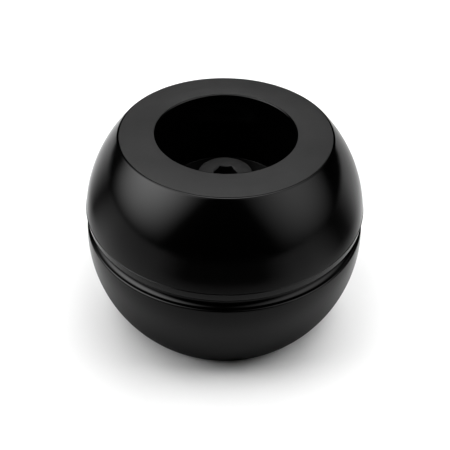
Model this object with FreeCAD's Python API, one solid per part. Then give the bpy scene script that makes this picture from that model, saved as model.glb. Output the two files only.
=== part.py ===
import FreeCAD, Part
import math
import os

# Case opening friction ball: two halves of a ball clamped together by one screw, with a soft ring on
# the flat top that grips a watch's case back. Sizes are in millimetres. The origin is the centre of
# the flat foot and +Z is the axis of the ball.

# Ball
lower_radius = 34.0        # the lower half's sphere
centre_height = 21.0       # that sphere's centre, above the foot
upper_step = 0.2           # the upper half's sphere has a radius this much smaller
upper_rise = 4.67          # the upper sphere's centre, above the lower one's
seam_rise = 6.0            # the seam between the halves, above the lower sphere's centre
rim_rise = 27.9            # the flat rim, above the lower sphere's centre
groove_radius = 1.4        # half-round groove that runs round the ball at the seam
groove_lip_round = 0.4     # rounding of the groove's two lips
band_rise = 9.2            # top of the straight band over the groove, above the lower sphere's centre
band_step = 0.1            # the band stands this far inside the sphere at its top
foot_round = 0.6           # rounding of the foot's edge

# Pocket and rim
pocket_radius = 16.0
pocket_depth = 18.5        # below the rim
pocket_floor_round = 0.4   # rounding where the pocket's wall meets its floor
rim_round = 0.6            # rounding of the rim's outer edge
mouth_round = 0.25         # rounding of the pocket's mouth

# Friction ring, let into the rim between two thin lips
ring_lip = 0.3             # width of each lip
ring_seat_depth = 1.2
ring_thickness = 1.3
ring_edge_round = 0.1
ring_side_gap = 0.05

# Centring spigot under the upper half
spigot_radius = 20.0
floor_thickness = 7.8      # from the pocket's floor to the spigot's end
spigot_side_gap = 0.1
spigot_end_gap = 0.2
spigot_chamfer = 0.8

# Clamp screw, M8 with a low head
thread_radius = 4.0
screw_length = 25.0        # under the head
head_radius = 6.5
head_height = 5.0
head_flat_radius = 5.4     # flat middle of the head's top, inside a shallow bevel
head_bevel_drop = 0.35     # height of that bevel
socket_across_flats = 5.0
socket_depth = 3.8
socket_mouth = 0.02        # how far the conical mouth reaches past the hexagon's corners
socket_mouth_slope = 30.0  # degrees from the head's top
tip_chamfer = 1.0
screw_hole_gap = 0.5       # radial clearance of the screw in the pocket's floor
tip_gap = 2.0              # free depth under the screw's tip

# Spring lock washer
washer_radius = 6.35
washer_thickness = 2.0
washer_bore_gap = 0.2
washer_slit = 1.2

# Threaded insert
insert_radius = 6.0
insert_length = 14.0
insert_flange_radius = 8.0
insert_flange_height = 1.2
insert_waist_depth = 0.6   # depth of the groove between its two knurled bands
insert_waist_length = 3.0
insert_chamfer = 0.5
thread_gap = 0.05          # radial running clearance that stands for the thread's

# Dowel pins
pin_radius = 2.0
pin_length = 12.0
pin_chamfer = 0.4
pin_slip_gap = 0.05        # radial clearance in the upper half
pin_end_gap = 0.5
pin_count = 2

# Derived heights and radii
seam_height = centre_height + seam_rise
rim_height = centre_height + rim_rise
upper_radius = lower_radius - upper_step
upper_centre = centre_height + upper_rise
rim_radius = math.sqrt(upper_radius ** 2 - (rim_height - upper_centre) ** 2)
band_height = centre_height + band_rise
band_radius = math.sqrt(upper_radius ** 2 - (band_height - upper_centre) ** 2) - band_step
foot_radius = math.sqrt(lower_radius ** 2 - centre_height ** 2)
groove_centre_radius = math.sqrt(lower_radius ** 2 - seam_rise ** 2)
groove_root_radius = groove_centre_radius - groove_radius
pocket_floor = rim_height - pocket_depth
spigot_end = pocket_floor - floor_thickness
recess_floor = spigot_end - spigot_end_gap
head_seat = pocket_floor + washer_thickness
screw_tip = head_seat - screw_length
pin_circle_radius = (spigot_radius + groove_root_radius) / 2
pin_foot = seam_height - pin_length / 2
reach = 10.0               # how far cutting tools run past a face

up = FreeCAD.Vector(0, 0, 1)


def cylinder(radius, bottom, top, x=0.0, y=0.0):
    return Part.makeCylinder(radius, top - bottom, FreeCAD.Vector(x, y, bottom), up)


def tube(outer, inner, bottom, top):
    return cylinder(outer, bottom, top).cut(cylinder(inner, bottom - reach, top + reach))


def ball_zone(radius, centre, bottom, top):
    """Slice of a sphere between two heights."""
    ball = Part.makeSphere(radius, FreeCAD.Vector(0, 0, centre))
    return ball.common(cylinder(radius + reach, bottom, top))


def circle_edges(shape, radius, height):
    """Full circles of the given radius about the axis, at the given height."""
    found = []
    for edge in shape.Edges:
        curve = edge.Curve
        if not isinstance(curve, Part.Circle):
            continue
        on_axis = math.hypot(curve.Center.x, curve.Center.y) < 0.01
        if on_axis and abs(curve.Radius - radius) < 0.01 and abs(curve.Center.z - height) < 0.01:
            found.append(edge)
    return found


def round_circle(shape, radius, height, amount):
    return shape.makeFillet(amount, circle_edges(shape, radius, height))


def chamfer_circle(shape, radius, height, amount):
    return shape.makeChamfer(amount, circle_edges(shape, radius, height))


def chamfer_ends(shape, radius, bottom, top, amount):
    edges = circle_edges(shape, radius, bottom) + circle_edges(shape, radius, top)
    return shape.makeChamfer(amount, edges)


def groove_cutter():
    return Part.makeTorus(groove_centre_radius, groove_radius, FreeCAD.Vector(0, 0, seam_height), up)


def groove_lip(sphere_radius, sphere_centre, side):
    """Radius and height where the groove meets one of the spheres, above (1) or below (-1) the seam."""
    rise = seam_height - sphere_centre
    distance = math.hypot(groove_centre_radius, rise)
    along = (distance ** 2 + sphere_radius ** 2 - groove_radius ** 2) / (2 * distance)
    across = side * math.sqrt(sphere_radius ** 2 - along ** 2)
    radius = (groove_centre_radius * along - rise * across) / distance
    height = sphere_centre + (rise * along + groove_centre_radius * across) / distance
    return radius, height


def pin_places():
    for number in range(pin_count):
        angle = 2 * math.pi * number / pin_count
        yield pin_circle_radius * math.cos(angle), pin_circle_radius * math.sin(angle)


def upper_body():
    body = ball_zone(upper_radius, upper_centre, seam_height, rim_height)
    body = body.cut(tube(upper_radius + reach, band_radius, seam_height - reach, band_height))
    body = body.cut(groove_cutter())
    lip_height = seam_height + math.sqrt(groove_radius ** 2 - (groove_centre_radius - band_radius) ** 2)
    body = round_circle(body, band_radius, lip_height, groove_lip_round)
    body = round_circle(body, rim_radius, rim_height, rim_round)
    spigot = cylinder(spigot_radius, spigot_end, seam_height)
    spigot = chamfer_circle(spigot, spigot_radius, spigot_end, spigot_chamfer)
    body = body.fuse(spigot)
    pocket = cylinder(pocket_radius, pocket_floor, rim_height + reach)
    pocket = round_circle(pocket, pocket_radius, pocket_floor, pocket_floor_round)
    body = body.cut(pocket)
    body = round_circle(body, pocket_radius, rim_height, mouth_round)
    seat_outer = rim_radius - ring_lip
    seat_inner = pocket_radius + ring_lip
    body = body.cut(tube(seat_outer, seat_inner, rim_height - ring_seat_depth, rim_height + reach))
    body = body.cut(cylinder(thread_radius + screw_hole_gap, spigot_end - reach, rim_height))
    for x, y in pin_places():
        top = seam_height + pin_length / 2 + pin_end_gap
        body = body.cut(cylinder(pin_radius + pin_slip_gap, seam_height - reach, top, x, y))
    return body.removeSplitter()


def lower_body():
    body = ball_zone(lower_radius, centre_height, 0.0, seam_height)
    body = body.cut(groove_cutter())
    lip_radius, lip_height = groove_lip(lower_radius, centre_height, -1)
    body = round_circle(body, lip_radius, lip_height, groove_lip_round)
    body = round_circle(body, foot_radius, 0.0, foot_round)
    body = body.cut(cylinder(spigot_radius + spigot_side_gap, recess_floor, seam_height + reach))
    body = body.cut(cylinder(insert_flange_radius, recess_floor - insert_flange_height, seam_height))
    body = body.cut(cylinder(insert_radius, recess_floor - insert_length, seam_height))
    body = body.cut(cylinder(thread_radius + screw_hole_gap, screw_tip - tip_gap, seam_height))
    for x, y in pin_places():
        body = body.cut(cylinder(pin_radius, pin_foot, seam_height + reach, x, y))
    return body.removeSplitter()


def friction_ring():
    bottom = rim_height - ring_seat_depth
    top = bottom + ring_thickness
    outer = rim_radius - ring_lip - ring_side_gap
    inner = pocket_radius + ring_lip + ring_side_gap
    ring = tube(outer, inner, bottom, top)
    edges = circle_edges(ring, outer, top) + circle_edges(ring, inner, top)
    return ring.makeFillet(ring_edge_round, edges)


def hexagon_prism(across_flats, bottom, top):
    """Hexagonal prism with two of its flats square to the Y axis."""
    corner = across_flats / math.sqrt(3)
    turns = [math.radians(60 * number) for number in range(7)]
    points = [FreeCAD.Vector(corner * math.cos(turn), corner * math.sin(turn), bottom) for turn in turns]
    return Part.Face(Part.makePolygon(points)).extrude(up * (top - bottom))


def clamp_screw():
    head_top = head_seat + head_height
    bevel_foot = head_top - head_bevel_drop
    head = cylinder(head_radius, head_seat, bevel_foot)
    head = head.fuse(Part.makeCone(head_radius, head_flat_radius, head_bevel_drop,
                                   FreeCAD.Vector(0, 0, bevel_foot), up))
    shank = cylinder(thread_radius, screw_tip, head_seat)
    shank = chamfer_circle(shank, thread_radius, screw_tip, tip_chamfer)
    screw = head.fuse(shank)
    screw = screw.cut(hexagon_prism(socket_across_flats, head_top - socket_depth, head_top + reach))
    mouth_radius = socket_across_flats / math.sqrt(3) + socket_mouth
    mouth_depth = mouth_radius * math.tan(math.radians(socket_mouth_slope))
    mouth = Part.makeCone(0, mouth_radius, mouth_depth, FreeCAD.Vector(0, 0, head_top - mouth_depth), up)
    return screw.cut(mouth).removeSplitter()


def lock_washer():
    bore = thread_radius + washer_bore_gap
    washer = tube(washer_radius, bore, pocket_floor, head_seat)
    slit_corner = FreeCAD.Vector(0, -washer_slit / 2, pocket_floor - reach)
    slit = Part.makeBox(washer_radius + reach, washer_slit, washer_thickness + 2 * reach, slit_corner)
    return washer.cut(slit)


def threaded_insert():
    top = recess_floor
    bottom = recess_floor - insert_length
    barrel = cylinder(insert_radius, bottom, top)
    barrel = chamfer_circle(barrel, insert_radius, bottom, insert_chamfer)
    flange = cylinder(insert_flange_radius, top - insert_flange_height, top)
    insert = barrel.fuse(flange)
    waist_middle = (bottom + top - insert_flange_height) / 2
    waist_bottom = waist_middle - insert_waist_length / 2
    waist_top = waist_middle + insert_waist_length / 2
    insert = insert.cut(tube(insert_radius + reach, insert_radius - insert_waist_depth, waist_bottom, waist_top))
    insert = insert.cut(cylinder(thread_radius + thread_gap, bottom - reach, top + reach))
    return insert.removeSplitter()


def dowel_pin(x, y):
    pin = cylinder(pin_radius, pin_foot, pin_foot + pin_length)
    pin = chamfer_ends(pin, pin_radius, pin_foot, pin_foot + pin_length, pin_chamfer)
    pin.translate(FreeCAD.Vector(x, y, 0))
    return pin


os.makedirs("parts", exist_ok=True)

pieces = {
    "upper_body": upper_body(),
    "lower_body": lower_body(),
    "friction_ring": friction_ring(),
    "clamp_screw": clamp_screw(),
    "lock_washer": lock_washer(),
    "threaded_insert": threaded_insert(),
}
for number, (x, y) in enumerate(pin_places(), start=1):
    pieces["dowel_pin_" + str(number)] = dowel_pin(x, y)

for name, shape in pieces.items():
    shape.exportStep("parts/" + name + ".step")
    box = shape.BoundBox
    print(name, "solids", len(shape.Solids), "valid", shape.isValid(), "volume", round(shape.Volume, 1),
          "z", round(box.ZMin, 2), round(box.ZMax, 2), "radius", round(box.XMax, 2))
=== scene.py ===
import math
import bmesh
import bpy
from mathutils import Matrix, Vector


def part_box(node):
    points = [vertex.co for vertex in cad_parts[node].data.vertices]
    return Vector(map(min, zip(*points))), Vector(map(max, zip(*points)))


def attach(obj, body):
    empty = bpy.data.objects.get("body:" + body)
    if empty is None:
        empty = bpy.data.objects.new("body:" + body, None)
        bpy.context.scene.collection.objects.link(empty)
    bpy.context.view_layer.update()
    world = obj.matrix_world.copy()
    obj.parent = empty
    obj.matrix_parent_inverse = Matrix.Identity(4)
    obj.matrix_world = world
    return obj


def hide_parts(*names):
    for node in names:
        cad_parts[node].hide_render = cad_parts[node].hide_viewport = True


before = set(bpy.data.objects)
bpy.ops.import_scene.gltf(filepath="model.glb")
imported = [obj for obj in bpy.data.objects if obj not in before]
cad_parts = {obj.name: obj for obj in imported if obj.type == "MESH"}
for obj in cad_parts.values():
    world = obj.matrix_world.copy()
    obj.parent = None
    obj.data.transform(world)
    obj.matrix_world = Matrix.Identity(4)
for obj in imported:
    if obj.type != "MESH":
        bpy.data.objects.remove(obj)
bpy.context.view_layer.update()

mm = 0.001
collection = bpy.context.scene.collection


class Wire:
    # an output socket that sums and products can be written with
    def __init__(self, tree, socket):
        self.tree = tree
        self.socket = socket

    def node(self, kind, settings=None, inputs=None, output=0):
        made = self.tree.nodes.new(kind)
        for key, value in (settings or {}).items():
            setattr(made, key, value)
        for key, value in (inputs or {}).items():
            plug(self.tree, made.inputs[key], value)
        return Wire(self.tree, made.outputs[output])

    def math(self, operation, first, second=None, clamp=False):
        inputs = {0: first} if second is None else {0: first, 1: second}
        return self.node("ShaderNodeMath", {"operation": operation, "use_clamp": clamp}, inputs)

    def __add__(self, other):
        return self.math("ADD", self, other)

    def __radd__(self, other):
        return self.math("ADD", other, self)

    def __sub__(self, other):
        return self.math("SUBTRACT", self, other)

    def __rsub__(self, other):
        return self.math("SUBTRACT", other, self)

    def __mul__(self, other):
        return self.math("MULTIPLY", self, other)

    def __rmul__(self, other):
        return self.math("MULTIPLY", other, self)

    def __truediv__(self, other):
        return self.math("DIVIDE", self, other)

    def __rtruediv__(self, other):
        return self.math("DIVIDE", other, self)

    def __pow__(self, other):
        return self.math("POWER", self, other)

    def size(self):
        return self.math("ABSOLUTE", self)

    def clamped(self):
        return self.math("ADD", self, 0.0, clamp=True)

    def zigzag(self):
        # 1 at whole numbers, 0 halfway between them
        return ((self - self.math("FLOOR", self)) * 2 - 1).size()

    def larger(self, other):
        return self.math("MAXIMUM", self, other)

    def range(self, fromMin, fromMax, toMin, toMax, smooth=False):
        kind = "SMOOTHSTEP" if smooth else "LINEAR"
        inputs = {"Value": self, "From Min": fromMin, "From Max": fromMax, "To Min": toMin, "To Max": toMax}
        return self.node("ShaderNodeMapRange", {"interpolation_type": kind, "clamp": True}, inputs)

    def noise(self, scale, detail=3.0):
        return self.node("ShaderNodeTexNoise", {}, {"Vector": self, "Scale": scale, "Detail": detail})

    def bump(self, strength, distance):
        inputs = {"Height": self, "Strength": strength, "Distance": distance}
        return self.node("ShaderNodeBump", {}, inputs, "Normal")

    def mix(self, first, second):
        # self is the factor between two colours
        return self.node("ShaderNodeMix", {"data_type": "RGBA"}, {0: self, 6: first, 7: second}, 2)

    def parts(self):
        # a vector's X, Y and Z as three wires
        made = self.tree.nodes.new("ShaderNodeSeparateXYZ")
        plug(self.tree, made.inputs[0], self)
        return [Wire(self.tree, made.outputs[number]) for number in range(3)]


def plug(tree, socket, value):
    if isinstance(value, Wire):
        tree.links.new(value.socket, socket)
    else:
        socket.default_value = value


def grey(level):
    return (level, level, level, 1.0)


def newMaterial(name):
    # a material with an empty tree, its output node, and a wire of Object coordinates to start from
    material = bpy.data.materials.new(name)
    material.use_nodes = True
    tree = material.node_tree
    tree.nodes.clear()
    outputNode = tree.nodes.new("ShaderNodeOutputMaterial")
    place = Wire(tree, tree.nodes.new("ShaderNodeTexCoord").outputs["Object"])
    return material, tree, outputNode, place


def finishSurface(tree, outputNode, inputs):
    surface = tree.nodes.new("ShaderNodeBsdfPrincipled")
    for key, value in inputs.items():
        plug(tree, surface.inputs[key], value)
    tree.links.new(surface.outputs["BSDF"], outputNode.inputs["Surface"])


blackGloss = {"colour": 0.0003, "cloudLift": 1.6, "ior": 1.195, "roughness": 0.13, "swirlScale": 60.0,
              "grainScale": 900.0, "swirlRoughness": 0.05, "grainRoughness": 0.03, "grainDepth": 0.02 * mm,
              "grainStrength": 0.03}


def makeBlackGloss():
    # polished black plastic, with faint polishing clouds and dust-fine grain
    material, tree, outputNode, place = newMaterial("polishedBlackPlastic")
    swirl = place.noise(blackGloss["swirlScale"], 4.0)
    grain = place.noise(blackGloss["grainScale"])
    dark = blackGloss["colour"]
    colour = swirl.range(0.35, 0.7, 0.0, 1.0).mix(grey(dark), grey(dark * blackGloss["cloudLift"]))
    roughness = blackGloss["roughness"] + (swirl - 0.5) * blackGloss["swirlRoughness"]
    roughness = roughness + (grain - 0.5) * blackGloss["grainRoughness"]
    normal = grain.bump(blackGloss["grainStrength"], blackGloss["grainDepth"])
    finishSurface(tree, outputNode, {"Base Color": colour, "Roughness": roughness, "IOR": blackGloss["ior"],
                                     "Normal": normal})
    return material


ringRubber = {"dark": 0.008, "light": 0.014, "roughness": 0.45, "grainRoughness": 0.2, "ior": 1.2,
              "patchScale": 110.0, "grainScale": 2600.0, "grainRelief": 3, "patchRelief": 2,
              "lineSpacing": 0.13 * mm, "lineDepth": 0.009 * mm}


def makeRingRubber():
    # matte friction rubber: faint ring lines and ground grain, with soft lighter and darker patches
    material, tree, outputNode, place = newMaterial("frictionRubber")
    patches = place.noise(ringRubber["patchScale"])
    grain = place.noise(ringRubber["grainScale"], 4.0)
    tone = (patches * 0.55 + grain * 0.45).range(0.32, 0.68, 0.0, 1.0)
    colour = tone.mix(grey(ringRubber["dark"]), grey(ringRubber["light"]))
    roughness = ringRubber["roughness"] + (grain - 0.5) * ringRubber["grainRoughness"]
    x, y, _ = place.parts()
    lines = ((x * x + y * y) ** 0.5 / ringRubber["lineSpacing"]).zigzag()
    relief = lines + grain * ringRubber["grainRelief"] + patches * ringRubber["patchRelief"]
    finishSurface(tree, outputNode, {"Base Color": colour, "Roughness": roughness, "IOR": ringRubber["ior"],
                                     "Normal": relief.bump(1.0, ringRubber["lineDepth"])})
    return material


# the last two values place the painted shade down in the socket: how far below the top it starts, and how
# softly it fades in
blackOxide = {"dark": 0.007, "light": 0.013, "roughness": 0.5, "grainRoughness": 0.2, "ior": 1.15,
              "patchScale": 400.0, "grainScale": 3000.0, "grainStrength": 0.3, "grainDepth": 0.04 * mm,
              "edgeBlur": 0.1 * mm, "shadeTop": 0.3 * mm, "shadeFade": 0.2 * mm}


def makeBlackOxide(socketRadius, socketTop):
    # blackened steel: matte oxide, with painted shade that turns it black down in the socket
    material, tree, outputNode, place = newMaterial("blackenedSteel")
    grain = place.noise(blackOxide["grainScale"])
    patches = place.noise(blackOxide["patchScale"], 2.0)
    x, y, z = place.parts()
    # painted shade: inside the socket's radius and below its top the colour goes to black
    outside = ((x * x + y * y) ** 0.5).range(socketRadius, socketRadius + blackOxide["edgeBlur"], 0.0, 1.0)
    shadeFrom = socketTop - blackOxide["shadeTop"]
    unshadedMask = outside.larger(z.range(shadeFrom - blackOxide["shadeFade"], shadeFrom, 0.0, 1.0))
    tone = (patches * 0.6 + grain * 0.4).range(0.3, 0.7, 0.0, 1.0)
    bright = tone.mix(grey(blackOxide["dark"]), grey(blackOxide["light"]))
    colour = unshadedMask.mix(grey(0.0), bright)
    roughness = blackOxide["roughness"] + (grain - 0.5) * blackOxide["grainRoughness"]
    normal = grain.bump(blackOxide["grainStrength"], blackOxide["grainDepth"])
    finishSurface(tree, outputNode, {"Base Color": colour, "Roughness": roughness, "IOR": blackOxide["ior"],
                                     "Normal": normal})
    return material


metals = {
    "springSteel": {"colour": (0.30, 0.30, 0.31), "roughness": 0.38, "scale": 700.0, "stretch": 1.0},
    "turnedBrass": {"colour": (0.72, 0.52, 0.24), "roughness": 0.3, "scale": 260.0, "stretch": 8.0},
    "groundSteel": {"colour": (0.52, 0.52, 0.53), "roughness": 0.22, "scale": 300.0, "stretch": 12.0},
}


def makeMetal(name):
    # bare metal, its fine lines running round the axis where stretch is above 1
    values = metals[name]
    material, tree, outputNode, place = newMaterial(name)
    drawn = place.node("ShaderNodeMapping", {}, {"Vector": place, "Scale": (1.0, 1.0, values["stretch"])})
    lines = drawn.noise(values["scale"], 4.0)
    stains = place.noise(120.0)
    dull = tuple(level * 0.75 for level in values["colour"])
    shade = (lines * 0.6 + stains * 0.4).range(0.3, 0.7, 0.0, 1.0)
    colour = shade.mix(dull + (1.0,), values["colour"] + (1.0,))
    roughness = values["roughness"] + (lines - 0.5) * 0.2 + (stains - 0.5) * 0.1
    finishSurface(tree, outputNode, {"Base Color": colour, "Metallic": 1.0, "Roughness": roughness,
                                     "Normal": lines.bump(0.2, 0.03 * mm)})
    return material


print("materials described")

# marks that a point of a half section can carry: depth of a screw thread there, depth of a knurl there,
# 1 where the outline round the axis is a hexagon, and the rise for each step outwards that the hexagon makes
sectionMarks = ("thread", "knurl", "hexagon", "slope")


def makeLatheTree():
    # spins a half section round the Z axis, and cuts threads, knurls and hexagons where its points are marked
    tree = bpy.data.node_groups.new("lathe", "GeometryNodeTree")
    tree.interface.new_socket("Geometry", in_out="INPUT", socket_type="NodeSocketGeometry")
    tree.interface.new_socket("Segments", in_out="INPUT", socket_type="NodeSocketInt")
    for name in ("Centre X", "Pitch", "Teeth", "Twist", "Slit"):
        tree.interface.new_socket(name, in_out="INPUT", socket_type="NodeSocketFloat")
    tree.interface.new_socket("Material", in_out="INPUT", socket_type="NodeSocketMaterial")
    tree.interface.new_socket("Geometry", in_out="OUTPUT", socket_type="NodeSocketGeometry")
    entry = tree.nodes.new("NodeGroupInput")
    given = {socket.name: Wire(tree, socket) for socket in entry.outputs if socket.name}
    section = given["Geometry"]
    count = section.node("GeometryNodeAttributeDomainSize", {}, {"Geometry": section}, "Point Count")
    gridSize = {"Vertices X": given["Segments"] + 1, "Vertices Y": count}
    grid = section.node("GeometryNodeMeshGrid", {}, gridSize, "Mesh")
    index = section.node("GeometryNodeInputIndex")
    row = index.math("MODULO", index, count)
    share = index.math("FLOOR", (index + 0.5) / count) / given["Segments"]

    def sampled(kind, field):
        return section.node("GeometryNodeSampleIndex", {"data_type": kind, "domain": "POINT"},
                            {"Geometry": section, "Value": field, "Index": row})

    marks = {}
    for name in sectionMarks:
        field = section.node("GeometryNodeInputNamedAttribute", {"data_type": "FLOAT"}, {"Name": name})
        marks[name] = sampled("FLOAT", field)
    plainRadius, _, plainHeight = sampled("FLOAT_VECTOR", section.node("GeometryNodeInputPosition")).parts()
    halfSlit = index.math("ARCSINE", given["Slit"] / 2 / plainRadius)
    turn = halfSlit + share * (2 * math.pi - halfSlit * 2)
    sixth = math.pi / 3
    cornerGain = 1 / index.math("COSINE", turn - index.math("FLOOR", turn / sixth) * sixth - sixth / 2)
    hexRadius = plainRadius * (1 + marks["hexagon"] * (cornerGain - 1))
    threadDip = 1 - ((plainHeight / given["Pitch"] - share).zigzag() * 1.7 - 0.35).clamped()
    twist = plainHeight * given["Twist"]
    knurlDip = (share * given["Teeth"] + twist).zigzag().larger((share * given["Teeth"] - twist).zigzag())
    radius = hexRadius - marks["thread"] * threadDip - marks["knurl"] * knurlDip
    height = plainHeight + marks["slope"] * (hexRadius - plainRadius)
    spun = section.node("ShaderNodeCombineXYZ", {}, {
        "X": radius * index.math("COSINE", turn) + given["Centre X"],
        "Y": radius * index.math("SINE", turn),
        "Z": height,
    })
    body = section.node("GeometryNodeSetPosition", {}, {"Geometry": grid, "Position": spun})
    body = section.node("GeometryNodeMergeByDistance", {}, {"Geometry": body, "Distance": 0.000001})
    body = section.node("GeometryNodeRealizeInstances", {}, {"Geometry": body})
    body = section.node("GeometryNodeSetMaterial", {}, {"Geometry": body, "Material": given["Material"]})
    leave = tree.nodes.new("NodeGroupOutput")
    tree.links.new(body.socket, leave.inputs["Geometry"])
    return tree


latheTree = makeLatheTree()


def setInputs(modifier, values):
    # modifier inputs are set by the socket's identifier
    for item in modifier.node_group.interface.items_tree:
        if item.in_out == "INPUT" and item.name in values:
            modifier[item.identifier] = values[item.name]


def plainMesh(source, name):
    # the evaluated result as a plain object, with its source removed
    graph = bpy.context.evaluated_depsgraph_get()
    mesh = bpy.data.meshes.new_from_object(source.evaluated_get(graph), depsgraph=graph)
    bpy.data.objects.remove(source)
    mesh.name = name
    made = bpy.data.objects.new(name, mesh)
    collection.objects.link(made)
    return made


def tidyMesh(piece, sharpDegrees=28.0):
    # doubles merged, open ends closed, faces turned outwards, smooth shading with crisp corners
    work = bmesh.new()
    work.from_mesh(piece.data)
    bmesh.ops.remove_doubles(work, verts=work.verts, dist=1e-7)
    bmesh.ops.holes_fill(work, edges=[edge for edge in work.edges if edge.is_boundary], sides=0)
    bmesh.ops.recalc_face_normals(work, faces=work.faces)
    work.to_mesh(piece.data)
    work.free()
    piece.data.shade_smooth()
    piece.data.set_sharp_from_angle(angle=math.radians(sharpDegrees))
    return piece


def turned(name, section, material, segments=256, **inputs):
    # section runs along radius and height pairs in millimetres, with its marks after them where it has any
    mesh = bpy.data.meshes.new(name + "Section")
    mesh.from_pydata([(point[0] * mm, 0.0, point[1] * mm) for point in section], [], [])
    for key in sectionMarks:
        scale = 1.0 if key in ("hexagon", "slope") else mm
        attribute = mesh.attributes.new(key, "FLOAT", "POINT")
        marks = [point[2].get(key, 0.0) if len(point) > 2 else 0.0 for point in section]
        attribute.data.foreach_set("value", [mark * scale for mark in marks])
    source = bpy.data.objects.new(name + "Section", mesh)
    collection.objects.link(source)
    modifier = source.modifiers.new("lathe", "NODES")
    modifier.node_group = latheTree
    values = {"Segments": segments, "Material": material, "Centre X": 0.0, "Pitch": 1.0, "Teeth": 0.0,
              "Twist": 0.0, "Slit": 0.0}
    values.update(inputs)
    setInputs(modifier, values)
    piece = tidyMesh(plainMesh(source, name))
    print("turned", name, len(piece.data.polygons), "faces")
    return piece


def bored(piece, name, places, radius, low, high):
    # blind or open holes along Z, in millimetres, cut with turned plugs
    for number, x in enumerate(places):
        section = [(0.0, low), (radius, low), (radius, high), (0.0, high)]
        finish = piece.data.materials[0]
        cutter = turned(name + "Cutter" + str(number), section, finish, 48, **{"Centre X": x * mm})
        cut = piece.modifiers.new("bore", "BOOLEAN")
        cut.operation = "DIFFERENCE"
        cut.solver = "EXACT"
        cut.object = cutter
        piece = plainMesh(piece, name)
        bpy.data.objects.remove(cutter)
    return tidyMesh(piece)


def arc(centre, radius, startDegrees, endDegrees, steps):
    # points on an arc in the half section, both ends included
    points = []
    for step in range(steps + 1):
        angle = math.radians(startDegrees + (endDegrees - startDegrees) * step / steps)
        points.append((centre[0] + radius * math.cos(angle), centre[1] + radius * math.sin(angle)))
    return points


def meeting(centreA, radiusA, centreB, radiusB):
    # where two circles of the half section cross, taking the lower crossing
    gap = Vector(centreB) - Vector(centreA)
    along = (gap.length_squared + radiusA ** 2 - radiusB ** 2) / (2 * gap.length)
    across = math.sqrt(radiusA ** 2 - along ** 2)
    base = Vector(centreA) + gap.normalized() * along
    side = Vector((-gap.y, gap.x)).normalized() * across
    return min(base + side, base - side, key=lambda spot: spot.y)


def angleTo(centre, point):
    return math.degrees(math.atan2(point[1] - centre[1], point[0] - centre[0]))


def rows(radius, fromHeight, toHeight, step, key, amount, fade):
    # a straight run of evenly spaced rows, its thread or knurl fading in and out at the ends
    count = max(2, round(abs(toHeight - fromHeight) / step))
    points = []
    for number in range(count + 1):
        height = fromHeight + (toHeight - fromHeight) * number / count
        ends = min(abs(height - fromHeight), abs(height - toHeight)) / fade
        points.append((radius, height, {key: amount * min(1.0, ends)}))
    return points


# the ball's two halves, in millimetres; their heights come from the frame
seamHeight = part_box("lower_body")[1].z / mm
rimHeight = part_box("upper_body")[1].z / mm
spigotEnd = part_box("upper_body")[0].z / mm
ball = {"lowerRadius": 34.0, "centreHeight": 21.0, "upperRadius": 33.8, "upperCentre": 25.67,
        "bandTop": 30.2, "bandStep": 0.1, "edgeRound": 0.14, "edgeProud": 0.06, "edgeSpread": 2.2,
        "grooveRadius": 1.4, "lipRound": 0.4, "rimRound": 0.6, "footRound": 0.6, "arcSteps": 72}
pocket = {"radius": 16.0, "depth": 18.5, "mouthRound": 0.25, "floorRound": 0.06, "screwHole": 4.5}
seat = {"outer": 24.252, "inner": 16.3, "depth": 1.2}
spigot = {"radius": 20.0, "chamfer": 0.8, "recessRadius": 20.1, "recessFloor": 22.4}
well = {"flangeRadius": 8.0, "flangeFloor": 21.2, "radius": 6.0, "floor": 8.4, "tipFloor": 5.4}
pins = {"radius": 2.0, "slipGap": 0.05, "endGap": 0.5, "chamfer": 0.4, "dimple": 0.45}
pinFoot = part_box("dowel_pin_1")[0].z / mm
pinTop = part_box("dowel_pin_1")[1].z / mm
pinReach = (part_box("dowel_pin_1")[0].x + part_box("dowel_pin_1")[1].x) / 2 / mm
pinPlaces = (pinReach, -pinReach)

grooveCentre = (math.sqrt(ball["lowerRadius"] ** 2 - (seamHeight - ball["centreHeight"]) ** 2), seamHeight)


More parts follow.
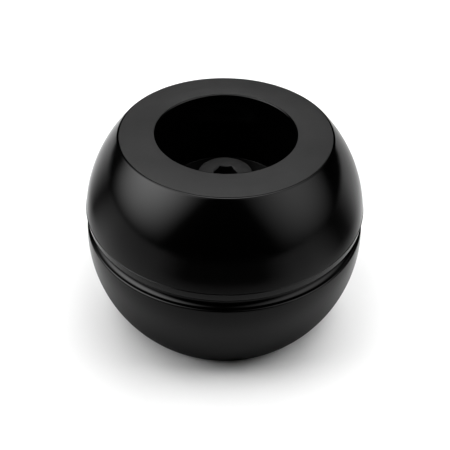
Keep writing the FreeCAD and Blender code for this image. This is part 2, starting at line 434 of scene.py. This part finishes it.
def makeUpperBody(material):
    centre = (0.0, ball["upperCentre"])
    radius = ball["upperRadius"]
    lipRound = ball["lipRound"]
    bandTop = ball["bandTop"]
    # a fine proud edge runs round the ball where the sphere meets the straight band over the groove
    edgeRound = ball["edgeRound"]
    edgeRadius = math.sqrt(radius ** 2 - (bandTop - centre[1]) ** 2)
    edgeCentre = (edgeRadius + ball["edgeProud"] - edgeRound, bandTop + edgeRound)
    edgeAngle = math.degrees(math.asin((bandTop + ball["edgeSpread"] * edgeRound - centre[1]) / radius))
    bandRadius = edgeRadius - ball["bandStep"]
    lipReach = ball["grooveRadius"] + lipRound
    lipRadius = bandRadius - lipRound
    lip = (lipRadius, seamHeight + math.sqrt(lipReach ** 2 - (grooveCentre[0] - lipRadius) ** 2))
    lipIn = angleTo(lip, grooveCentre)
    rimRound = ball["rimRound"]
    rimCentreHeight = rimHeight - rimRound
    rimCentre = (math.sqrt((radius - rimRound) ** 2 - (rimCentreHeight - centre[1]) ** 2), rimCentreHeight)
    rimAngle = angleTo(centre, rimCentre)
    floor = rimHeight - pocket["depth"]
    floorRound = pocket["floorRound"]
    mouthRound = pocket["mouthRound"]
    section = arc(grooveCentre, ball["grooveRadius"], 180.0, lipIn % 360 - 180.0, 20)
    section += arc(lip, lipRound, lipIn, 0.0, 6)
    section.append((bandRadius, bandTop))
    section += arc(edgeCentre, edgeRound, -90.0, 55.0, 8)
    section += arc(centre, radius, edgeAngle, rimAngle, ball["arcSteps"])
    section += arc(rimCentre, rimRound, rimAngle, 90.0, 8)[1:]
    section += [(seat["outer"], rimHeight), (seat["outer"], rimHeight - seat["depth"])]
    section += [(seat["inner"], rimHeight - seat["depth"]), (seat["inner"], rimHeight)]
    section += arc((pocket["radius"] + mouthRound, rimHeight - mouthRound), mouthRound, 90.0, 180.0, 6)
    section += arc((pocket["radius"] - floorRound, floor + floorRound), floorRound, 0.0, -90.0, 6)
    section += [(pocket["screwHole"], floor), (pocket["screwHole"], spigotEnd)]
    section += [(spigot["radius"] - spigot["chamfer"], spigotEnd)]
    section += [(spigot["radius"], spigotEnd + spigot["chamfer"]), (spigot["radius"], seamHeight), section[0]]
    body = turned("upperBody", section, material)
    return bored(body, "upperBody", pinPlaces, pins["radius"] + pins["slipGap"], seamHeight - 1,
                 pinTop + pins["endGap"])


def makeLowerBody(material):
    centre = (0.0, ball["centreHeight"])
    radius = ball["lowerRadius"]
    lipRound = ball["lipRound"]
    lip = meeting(centre, radius - lipRound, grooveCentre, ball["grooveRadius"] + lipRound)
    lipOut = angleTo(centre, lip)
    lipIn = angleTo(lip, grooveCentre)
    footRound = ball["footRound"]
    footCentre = (math.sqrt((radius - footRound) ** 2 - (centre[1] - footRound) ** 2), footRound)
    footAngle = angleTo(centre, footCentre)
    section = [(0.0, 0.0)] + arc(footCentre, footRound, -90.0, footAngle, 8)
    section += arc(centre, radius, footAngle, lipOut, ball["arcSteps"])[1:]
    section += arc(lip, lipRound, lipOut, lipIn, 6)[1:]
    section += arc(grooveCentre, ball["grooveRadius"], lipIn - 180.0, -180.0, 20)[1:]
    section += [(spigot["recessRadius"], seamHeight), (spigot["recessRadius"], spigot["recessFloor"])]
    section += [(well["flangeRadius"], spigot["recessFloor"]), (well["flangeRadius"], well["flangeFloor"])]
    section += [(well["radius"], well["flangeFloor"]), (well["radius"], well["floor"])]
    section += [(pocket["screwHole"], well["floor"]), (pocket["screwHole"], well["tipFloor"])]
    section += [(0.0, well["tipFloor"])]
    body = turned("lowerBody", section, material)
    return bored(body, "lowerBody", pinPlaces, pins["radius"], pinFoot, seamHeight + 1)


blackPlastic = makeBlackGloss()
upperBody = makeUpperBody(blackPlastic)
lowerBody = makeLowerBody(blackPlastic)
print("ball halves made")

ring = {"outer": 24.202, "inner": 16.35, "edgeRound": 0.1}


def makeFrictionRing(material):
    low, high = (end.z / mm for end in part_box("friction_ring"))
    edgeRound = ring["edgeRound"]
    section = [(ring["inner"], low), (ring["outer"], low)]
    section += arc((ring["outer"] - edgeRound, high - edgeRound), edgeRound, 0.0, 90.0, 5)
    section += arc((ring["inner"] + edgeRound, high - edgeRound), edgeRound, 90.0, 180.0, 5)
    section.append(section[0])
    return turned("frictionRing", section, material)


frictionRing = makeFrictionRing(makeRingRubber())

# the low-head clamp screw; its hexagon has two flats square to Y
screw = {"headRadius": 6.5, "flatRadius": 5.4, "bevelDrop": 0.35, "edgeRound": 0.12, "headHeight": 5.0,
         "socketFlats": 5.0, "socketDepth": 3.8, "drillRadius": 2.3, "drillDrop": 0.7, "mouthReach": 0.02,
         "mouthSlope": 30.0, "socketShadeRadius": 3.2, "knurlTeeth": 48, "knurlDepth": 0.16, "knurlStep": 0.3,
         "knurlFade": 0.4, "footChamfer": 0.25, "neckRound": 0.4, "threadRadius": 4.0, "threadDepth": 0.55,
         "pitch": 1.25, "rowsEachPitch": 8, "tipChamfer": 1.0}
tipHeight, headTop = (end.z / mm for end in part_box("clamp_screw"))


def makeScrew(material):
    underHead = headTop - screw["headHeight"]
    apothem = screw["socketFlats"] / 2
    mouth = apothem / math.cos(math.radians(30)) + screw["mouthReach"]
    rise = math.tan(math.radians(screw["mouthSlope"]))
    floor = headTop - screw["socketDepth"]
    radius = screw["headRadius"]
    edgeRound = screw["edgeRound"]
    thread = screw["threadRadius"]
    bevelFoot = headTop - screw["bevelDrop"]
    footChamfer = screw["footChamfer"]
    tipChamfer = screw["tipChamfer"]
    knurlStep = screw["knurlStep"]
    section = [(0.0, floor - screw["drillDrop"]), (screw["drillRadius"], floor)]
    section += [(apothem, floor, {"hexagon": 1.0})]
    section += [(apothem, headTop - (mouth - apothem) * rise, {"hexagon": 1.0, "slope": rise})]
    section += [(mouth, headTop), (screw["flatRadius"], headTop)]
    section += arc((radius - edgeRound, bevelFoot - edgeRound), edgeRound, 73.0, 0.0, 4)
    section += rows(radius, bevelFoot - knurlStep, underHead + 2 * footChamfer, knurlStep, "knurl",
                    screw["knurlDepth"], screw["knurlFade"])
    section += [(radius, underHead + footChamfer), (radius - footChamfer, underHead)]
    neckFoot = underHead - screw["neckRound"]
    section += [(thread + 0.02, underHead), (thread, neckFoot)]
    threadStep = screw["pitch"] / screw["rowsEachPitch"]
    section += rows(thread, neckFoot - 0.2, tipHeight + tipChamfer + 0.1, threadStep, "thread",
                    screw["threadDepth"], screw["pitch"])
    section += [(thread, tipHeight + tipChamfer), (thread - tipChamfer, tipHeight), (0.0, tipHeight)]
    return turned("clampScrew", section, material, 240, Pitch=screw["pitch"] * mm, Teeth=screw["knurlTeeth"])


# the socket is painted black with shade inside this radius
clampScrew = makeScrew(makeBlackOxide(screw["socketShadeRadius"] * mm, headTop * mm))
print("screw made")

washer = {"inner": 4.2, "outer": 6.35, "slit": 1.2, "edgeRound": 0.22}


def makeLockWasher(material):
    low, high = (end.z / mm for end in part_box("lock_washer"))
    edgeRound = washer["edgeRound"]
    section = []
    outer, inner = washer["outer"] - edgeRound, washer["inner"] + edgeRound
    corners = ((outer, low + edgeRound, -90.0), (outer, high - edgeRound, 0.0),
               (inner, high - edgeRound, 90.0), (inner, low + edgeRound, 180.0))
    for x, z, start in corners:
        section += arc((x, z), edgeRound, start, start + 90.0, 4)
    section.append(section[0])
    return turned("lockWasher", section, material, 160, Slit=washer["slit"] * mm)


lockWasher = makeLockWasher(makeMetal("springSteel"))

insert = {"radius": 6.0, "flangeRadius": 8.0, "flangeHeight": 1.2, "flangeRound": 0.15, "waistDepth": 0.6,
          "waistLength": 3.0, "chamfer": 0.5, "bore": 4.05, "threadDepth": -0.4, "teeth": 30, "twist": 0.9,
          "knurlDepth": 0.4, "rowHeight": 0.2}


def makeInsert(material):
    low, high = (end.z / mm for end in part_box("threaded_insert"))
    bore = insert["bore"]
    radius = insert["radius"]
    flange = insert["flangeRadius"]
    flangeFoot = high - insert["flangeHeight"]
    flangeRound = insert["flangeRound"]
    waist = radius - insert["waistDepth"]
    middle = (low + flangeFoot) / 2
    half = insert["waistLength"] / 2
    threadStep = screw["pitch"] / screw["rowsEachPitch"]
    section = [(bore, low)]
    section += rows(bore, low + 0.2, high - 0.2, threadStep, "thread", insert["threadDepth"], 0.6)
    section += [(bore, high)] + arc((flange - flangeRound, high - flangeRound), flangeRound, 90.0, 0.0, 4)
    section += arc((flange - flangeRound, flangeFoot + flangeRound), flangeRound, 0.0, -90.0, 4)
    section += rows(radius, flangeFoot, middle + half, insert["rowHeight"], "knurl",
                    insert["knurlDepth"], 0.3)
    section += [(waist, middle + half - 0.3), (waist, middle - half + 0.3)]
    section += rows(radius, middle - half, low + insert["chamfer"], insert["rowHeight"], "knurl",
                    insert["knurlDepth"], 0.3)
    section += [(radius - insert["chamfer"], low), (bore, low)]
    return turned("threadedInsert", section, material, 240, Pitch=screw["pitch"] * mm, Teeth=insert["teeth"],
                  Twist=insert["twist"] / mm)


threadedInsert = makeInsert(makeMetal("turnedBrass"))


def makePin(name, x, material):
    radius = pins["radius"]
    chamfer = pins["chamfer"]
    dimple = pins["dimple"]
    section = [(0.0, pinFoot + dimple / 2), (dimple, pinFoot), (radius - chamfer, pinFoot)]
    section += [(radius, pinFoot + chamfer), (radius, pinTop - chamfer)]
    section += [(radius - chamfer, pinTop), (dimple, pinTop), (0.0, pinTop - dimple / 2)]
    return turned(name, section, material, 64, **{"Centre X": x * mm})


pinSteel = makeMetal("groundSteel")
dowelPinRight = makePin("dowelPinRight", pinPlaces[0], pinSteel)
dowelPinLeft = makePin("dowelPinLeft", pinPlaces[1], pinSteel)
print("inner pieces made")

# which body each piece rides on, the node it stands for, and its finish in the record
rides = (
    (upperBody, "ball", "upper_body", "ball_plastic"),
    (lowerBody, "ball", "lower_body", "ball_plastic"),
    (frictionRing, "ball", "friction_ring", "friction_rubber"),
    (clampScrew, "screw", "clamp_screw", "blackened_steel"),
    (lockWasher, "washer", "lock_washer", "spring_steel"),
    (threadedInsert, "ball", "threaded_insert", "insert_brass"),
    (dowelPinRight, "ball", "dowel_pin_1", "pin_steel"),
    (dowelPinLeft, "ball", "dowel_pin_2", "pin_steel"),
)
for piece, body, node, finish in rides:
    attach(piece, body)
    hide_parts(node)
print("pieces ride on their bodies")

studio = {"floorSize": 6.0, "floorColour": 0.86, "target": (0.0, 0.0, 0.025)}


def makeSheet(name, corners):
    # a flat piece of the studio, which isn't part of the object
    mesh = bpy.data.meshes.new(name)
    mesh.from_pydata(corners, [], [tuple(range(len(corners)))])
    sheet = bpy.data.objects.new(name, mesh)
    collection.objects.link(sheet)
    return sheet


def square(half, height=0.0):
    return [(-half, -half, height), (half, -half, height), (half, half, height), (-half, half, height)]


def makeFloor():
    floor = makeSheet("floor", square(studio["floorSize"] / 2))
    material, tree, outputNode, place = newMaterial("paleFloor")
    mottle = place.noise(40.0)
    colour = mottle.mix(grey(studio["floorColour"]), grey(studio["floorColour"] + 0.01))
    finishSurface(tree, outputNode, {"Base Color": colour, "Roughness": 0.9, "IOR": 1.01})
    floor.data.materials.append(material)


makeFloor()


def standAt(item, turn, rise, distance):
    # places a lamp or card in that direction, turned from -Y towards +X, facing the ball
    turnAngle, riseAngle = math.radians(turn), math.radians(rise)
    direction = Vector((math.sin(turnAngle) * math.cos(riseAngle), -math.cos(turnAngle) * math.cos(riseAngle),
                        math.sin(riseAngle)))
    item.location = Vector(studio["target"]) + direction * distance
    item.rotation_mode = "QUATERNION"
    item.rotation_quaternion = direction.to_track_quat("Z", "Y")


def onlyMirrored(item):
    # the camera and the floor don't see it, only polished surfaces do
    item.visible_camera = False
    item.visible_diffuse = False
    item.visible_shadow = False


# soft cards that the polished ball mirrors; each fades out towards its edges
cards = {
    "leftCard": {"turn": -78.0, "rise": 40.0, "distance": 0.6, "width": 1.05, "height": 1.15, "strength": 14.5},
    "rightCard": {"turn": 69.0, "rise": 38.0, "distance": 0.6, "width": 0.95, "height": 1.25, "strength": 5.0},
    "topCard": {"turn": -175.0, "rise": 66.0, "distance": 0.6, "width": 0.9, "height": 0.5, "strength": 13.0},
}


def makeCard(name, values):
    halfWidth, halfHeight = values["width"] / 2, values["height"] / 2
    card = makeSheet(name, [(-halfWidth, -halfHeight, 0), (halfWidth, -halfHeight, 0),
                            (halfWidth, halfHeight, 0), (-halfWidth, halfHeight, 0)])
    standAt(card, values["turn"], values["rise"], values["distance"])
    material, tree, outputNode, place = newMaterial(name)
    across, upward, _ = place.parts()
    sideways = across.size().range(0.0, halfWidth, 1.0, 0.0, True)
    fade = sideways * upward.size().range(0.0, halfHeight, 1.0, 0.0, True)
    colour = fade.mix(grey(0.0), grey(1.0))
    glow = place.node("ShaderNodeEmission", {}, {"Color": colour, "Strength": values["strength"]})
    tree.links.new(glow.socket, outputNode.inputs["Surface"])
    card.data.materials.append(material)
    onlyMirrored(card)


for name, values in cards.items():
    makeCard(name, values)

# painted shade in reflections: a black sheet round the ball that only polished surfaces see, so the floor's far
# parts look dark in its reflections
reflectionShade = {"height": 0.001, "reach": 1.5, "soft": 14.0, "nearStart": 0.028, "nearEnd": 0.050, "near": 0.86,
         "everywhere": 0.16}
# each zone's direction, half width, cover, and the distances where it starts and is full
reflectionShadeZones = ((0.0, 36.0, 0.76, 0.062, 0.13), (-108.0, 11.0, 0.79, 0.045, 0.1),
              (90.0, 16.0, 0.78, 0.045, 0.1), (148.0, 20.0, 0.25, 0.045, 0.1))


def blendSheet(tree, outputNode, cover, first, second):
    # second shows where cover is 1
    blend = tree.nodes.new("ShaderNodeMixShader")
    plug(tree, blend.inputs[0], cover)
    plug(tree, blend.inputs[1], first)
    plug(tree, blend.inputs[2], second)
    tree.links.new(blend.outputs[0], outputNode.inputs["Surface"])


def makeReflectionShade():
    sheet = makeSheet("paintedReflectionShade", square(reflectionShade["reach"], reflectionShade["height"]))
    material, tree, outputNode, place = newMaterial("paintedReflectionShade")
    x, y, _ = place.parts()
    distance = (x * x + y * y) ** 0.5
    turn = place.math("ARCTAN2", x, 0.0 - y) * (180 / math.pi)
    soft = reflectionShade["soft"]
    # painted shade: the sheet's cover darkens the reflected floor near the ball and in each zone
    cover = distance.range(reflectionShade["nearStart"], reflectionShade["nearEnd"], reflectionShade["near"], reflectionShade["everywhere"], True)
    for middle, half, strength, start, end in reflectionShadeZones:
        across = (turn - middle).size().range(half - soft, half + soft, strength, 0.0, True)
        cover = cover + across * distance.range(start, end, 0.0, 1.0, True)
    cover = cover.clamped()
    clear = place.node("ShaderNodeBsdfTransparent")
    black = place.node("ShaderNodeEmission", {}, {"Strength": 0.0})
    blendSheet(tree, outputNode, cover, clear, black)
    sheet.data.materials.append(material)
    onlyMirrored(sheet)


makeReflectionShade()

# far floor that the camera sees fade to white, so that no horizon shows from near the floor
farFloor = {"height": 0.0004, "start": 0.28, "end": 0.7, "level": 1.06}


def makeFarFloor():
    sheet = makeSheet("farFloor", square(studio["floorSize"] / 2, farFloor["height"]))
    material, tree, outputNode, place = newMaterial("farFloor")
    x, y, _ = place.parts()
    cover = ((x * x + y * y) ** 0.5).range(farFloor["start"], farFloor["end"], 0.0, 1.0, True)
    clear = place.node("ShaderNodeBsdfTransparent")
    white = place.node("ShaderNodeEmission", {}, {"Color": grey(1.0), "Strength": farFloor["level"]})
    blendSheet(tree, outputNode, cover, clear, white)
    sheet.data.materials.append(material)
    sheet.visible_diffuse = False
    sheet.visible_glossy = False
    sheet.visible_shadow = False


makeFarFloor()

# soft boxes over both shoulders, weaker ones at the sides, and a long low one behind
lamps = {
    "overheadLeft": {"turn": -95.0, "rise": 68.0, "distance": 1.1, "width": 0.7, "height": 0.7, "energy": 6.7},
    "overheadRight": {"turn": 95.0, "rise": 70.0, "distance": 1.1, "width": 0.7, "height": 0.7, "energy": 7.3},
    "leftSide": {"turn": -84.0, "rise": 31.0, "distance": 1.0, "width": 0.5, "height": 0.4, "energy": 4.1},
    "rightSide": {"turn": 90.0, "rise": 36.0, "distance": 1.0, "width": 0.5, "height": 0.4, "energy": 2.9},
    "behind": {"turn": 176.0, "rise": 14.0, "distance": 1.0, "width": 1.0, "height": 0.35, "energy": 15.0},
}


def makeLamp(name, values):
    data = bpy.data.lights.new(name, "AREA")
    data.shape = "RECTANGLE"
    data.size = values["width"]
    data.size_y = values["height"]
    data.energy = values["energy"]
    lamp = bpy.data.objects.new(name, data)
    collection.objects.link(lamp)
    lamp.visible_glossy = False
    standAt(lamp, values["turn"], values["rise"], values["distance"])


for name, values in lamps.items():
    makeLamp(name, values)


def makeWorld():
    # white behind everything for the camera, black for every other ray
    world = bpy.data.worlds.new("studioWorld")
    bpy.context.scene.world = world
    world.use_nodes = True
    tree = world.node_tree
    tree.nodes.clear()
    seen = Wire(tree, tree.nodes.new("ShaderNodeLightPath").outputs["Is Camera Ray"])
    back = seen.node("ShaderNodeBackground", {}, {"Color": grey(farFloor["level"]), "Strength": seen})
    leave = tree.nodes.new("ShaderNodeOutputWorld")
    tree.links.new(back.socket, leave.inputs["Surface"])


makeWorld()
print("studio lit")

view = {"back": 0.13199, "above": 0.13498, "side": 0.00015, "pitch": 40.885, "roll": 1.08, "lens": 55.04}


def makeCamera():
    data = bpy.data.cameras.new("camera")
    data.lens = view["lens"]
    data.sensor_width = 36.0
    data.clip_start = 0.005
    camera = bpy.data.objects.new("camera", data)
    collection.objects.link(camera)
    tilt = Matrix.Rotation(math.radians(90.0 - view["pitch"]), 4, "X")
    roll = Matrix.Rotation(math.radians(view["roll"]), 4, "Z")
    camera.matrix_world = Matrix.Translation((view["side"], -view["back"], view["above"])) @ tilt @ roll
    bpy.context.scene.camera = camera


makeCamera()
bpy.context.scene.view_settings.view_transform = "Standard"
bpy.context.scene.view_settings.look = "None"
print("camera placed")
